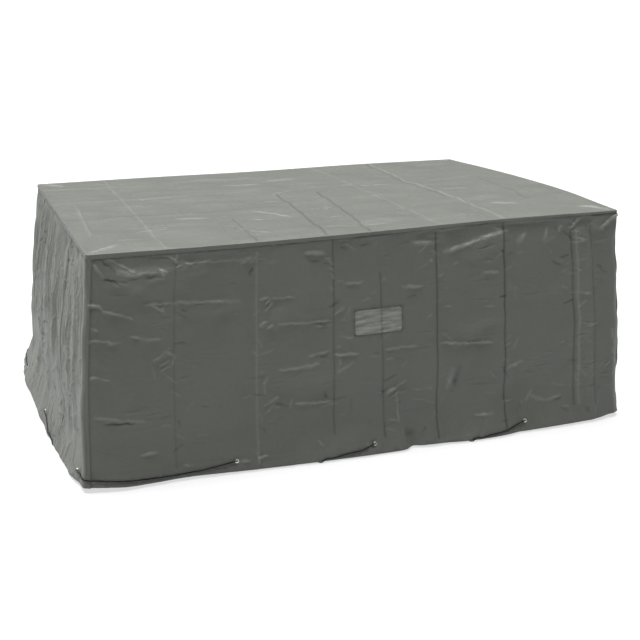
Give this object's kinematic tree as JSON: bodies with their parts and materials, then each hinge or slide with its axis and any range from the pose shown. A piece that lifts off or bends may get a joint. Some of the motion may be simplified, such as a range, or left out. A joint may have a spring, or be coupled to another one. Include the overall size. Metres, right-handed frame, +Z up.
{
  "type": "fitted patio furniture cover",
  "caption": "Fitted grey rainproof cover for an oblong garden table and chairs, with eyelets and an elastic cord in its hem, hanging as it does over the furniture.",
  "frame": {"origin": "middle of the underside of the top, where the cover rests on what it hides", "axes": "+X to the right along the long front wall, +Y from front to back, +Z up"},
  "size_m": [2.5658, 1.882, 0.9588],
  "materials": {
    "cover_cloth": "woven polyester with a thin satin coating, creased from being folded",
    "patch_cloth": "bare woven patch, slightly lighter and duller than the cover",
    "eyelet_metal": "nickel-plated, satin",
    "cord_elastic": "black braided elastic, dull"
  },
  "bodies": {
    "root": {"top_panel": "cover_cloth", "front_wall": "cover_cloth", "right_wall": "cover_cloth", "back_wall": "cover_cloth", "left_wall": "cover_cloth", "patch": "patch_cloth", "eyelet_front_1": "eyelet_metal", "eyelet_front_2": "eyelet_metal", "eyelet_front_3": "eyelet_metal", "eyelet_right_1": "eyelet_metal", "eyelet_right_2": "eyelet_metal", "eyelet_right_3": "eyelet_metal", "eyelet_back_1": "eyelet_metal", "eyelet_back_2": "eyelet_metal", "eyelet_back_3": "eyelet_metal", "eyelet_left_1": "eyelet_metal", "eyelet_left_2": "eyelet_metal", "eyelet_left_3": "eyelet_metal", "drawcord": "cord_elastic"}
  },
  "joints": []
}
